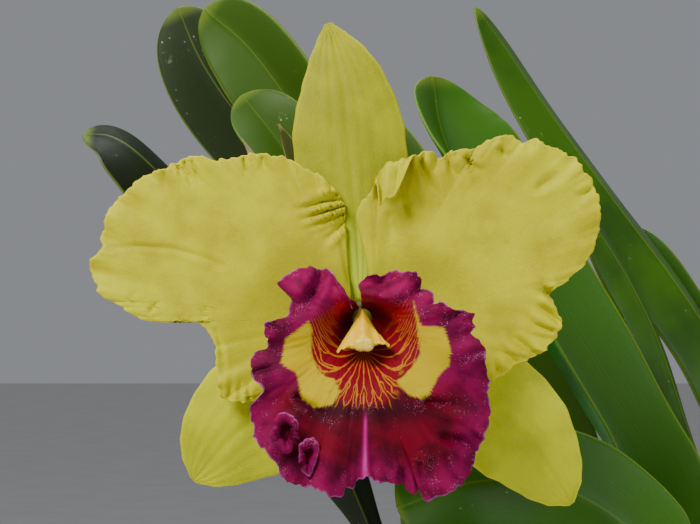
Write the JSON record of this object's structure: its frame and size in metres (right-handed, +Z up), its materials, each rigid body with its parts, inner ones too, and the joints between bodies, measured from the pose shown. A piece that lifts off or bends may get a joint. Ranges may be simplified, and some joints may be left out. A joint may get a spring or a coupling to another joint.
{
  "type": "cattleya orchid",
  "caption": "Flowering cattleya orchid: a large bloom with a frilled trumpet lip, folded strap leaves and furrowed pseudobulbs, rooted in bark in a plain clay pot.",
  "frame": {"origin": "centre of the pot's underside, on the surface it stands on", "axes": "+Z up the plant; -Y the way the bloom faces; +X to the right of someone looking at the bloom"},
  "size_m": [0.2572, 0.1793, 0.4145],
  "materials": {
    "clay": "matte",
    "bark": "matte",
    "rhizome": "matte",
    "pseudobulb": "satin",
    "leaf": "satin",
    "sheath_green": "matte",
    "sheath_dry": "matte",
    "stem": "satin",
    "sepal": "satin",
    "petal": "satin",
    "lip": "satin",
    "column": "satin"
  },
  "bodies": {
    "root": {"pot": "clay", "bark_mix": "bark", "rhizome": "rhizome", "pseudobulb_a": "pseudobulb", "pseudobulb_b": "pseudobulb", "pseudobulb_c": "pseudobulb", "pseudobulb_d": "pseudobulb", "pseudobulb_e": "pseudobulb", "pseudobulb_f": "pseudobulb", "pseudobulb_g": "pseudobulb", "backbulb": "pseudobulb", "leaf_1": "leaf", "leaf_2": "leaf", "leaf_3": "leaf", "leaf_4": "leaf", "leaf_5": "leaf", "leaf_6": "leaf", "leaf_7": "leaf", "leaf_8": "leaf", "leaf_9": "leaf", "leaf_10": "leaf", "flower_sheath": "sheath_green", "dry_sheath": "sheath_dry", "flower_stem": "stem", "sepal_dorsal": "sepal", "sepal_left": "sepal", "sepal_right": "sepal", "petal_left": "petal", "petal_right": "petal", "lip": "lip", "column": "column", "anther_cap": "column"}
  },
  "joints": []
}
